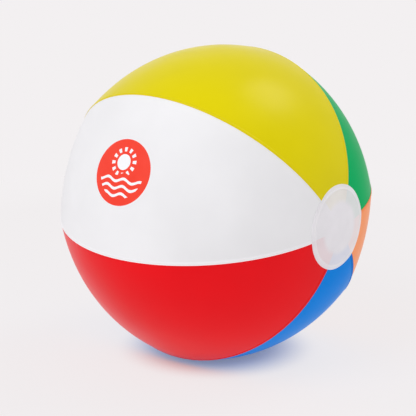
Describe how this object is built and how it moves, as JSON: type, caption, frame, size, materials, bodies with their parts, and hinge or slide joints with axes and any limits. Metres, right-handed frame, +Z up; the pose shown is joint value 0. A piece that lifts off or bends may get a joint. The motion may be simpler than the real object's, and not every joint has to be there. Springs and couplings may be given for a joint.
{
  "type": "inflatable beach ball",
  "caption": "Inflated vinyl beach ball of coloured gores welded to frosted pole patches, with a push-in air valve, tethered stopper and check flap.",
  "frame": {"origin": "on the floor plane of the flattened contact, directly under the middle of the pole axis", "axes": "+Z up; the pole axis lies along X with the plain pole towards +X and the valve towards -X"},
  "size_m": [0.3166, 0.3308, 0.3217],
  "materials": {
    "film_blue": "satin gloss soft vinyl film",
    "film_red": "satin gloss soft vinyl film",
    "film_white": "satin gloss soft vinyl film",
    "film_yellow": "satin gloss soft vinyl film",
    "film_green": "satin gloss soft vinyl film",
    "film_orange": "satin gloss soft vinyl film",
    "film_frosted": "frosted translucent vinyl film",
    "ink_red": "printed ink with a white motif",
    "valve_vinyl": "soft milky moulded vinyl",
    "stopper_vinyl": "firmer milky moulded vinyl"
  },
  "bodies": {
    "ball": {"panel_blue": "film_blue", "panel_red": "film_red", "panel_white": "film_white", "panel_yellow": "film_yellow", "panel_green": "film_green", "panel_orange": "film_orange", "printed_roundel": "ink_red", "pole_patch": "film_frosted", "valve_patch": "film_frosted", "valve_flange": "valve_vinyl", "valve_skirt": "valve_vinyl"},
    "valve": {"valve_stem": "valve_vinyl", "stopper_strap": "stopper_vinyl"},
    "cap": {"stopper": "stopper_vinyl"},
    "flap": {"check_flap": "valve_vinyl"}
  },
  "joints": [
    {"name": "valve_slide", "type": "slide", "parent": "ball", "child": "valve", "axis": [-1, 0, 0], "range_m": [0, 0.026], "deforming": ["valve_skirt"]},
    {"name": "cap_flip", "type": "hinge", "parent": "valve", "child": "cap", "pos_m": [-0.15746, 0, 0.16959], "axis": [0, 1, 0], "range_deg": [0, 140], "deforming": ["stopper_strap"]},
    {"name": "flap_swing", "type": "hinge", "parent": "valve", "child": "flap", "pos_m": [-0.14036, 0, 0.16454], "axis": [0, -1, 0], "range_deg": [0, 50], "stiffness_Nm_per_rad": 0.0001}
  ]
}
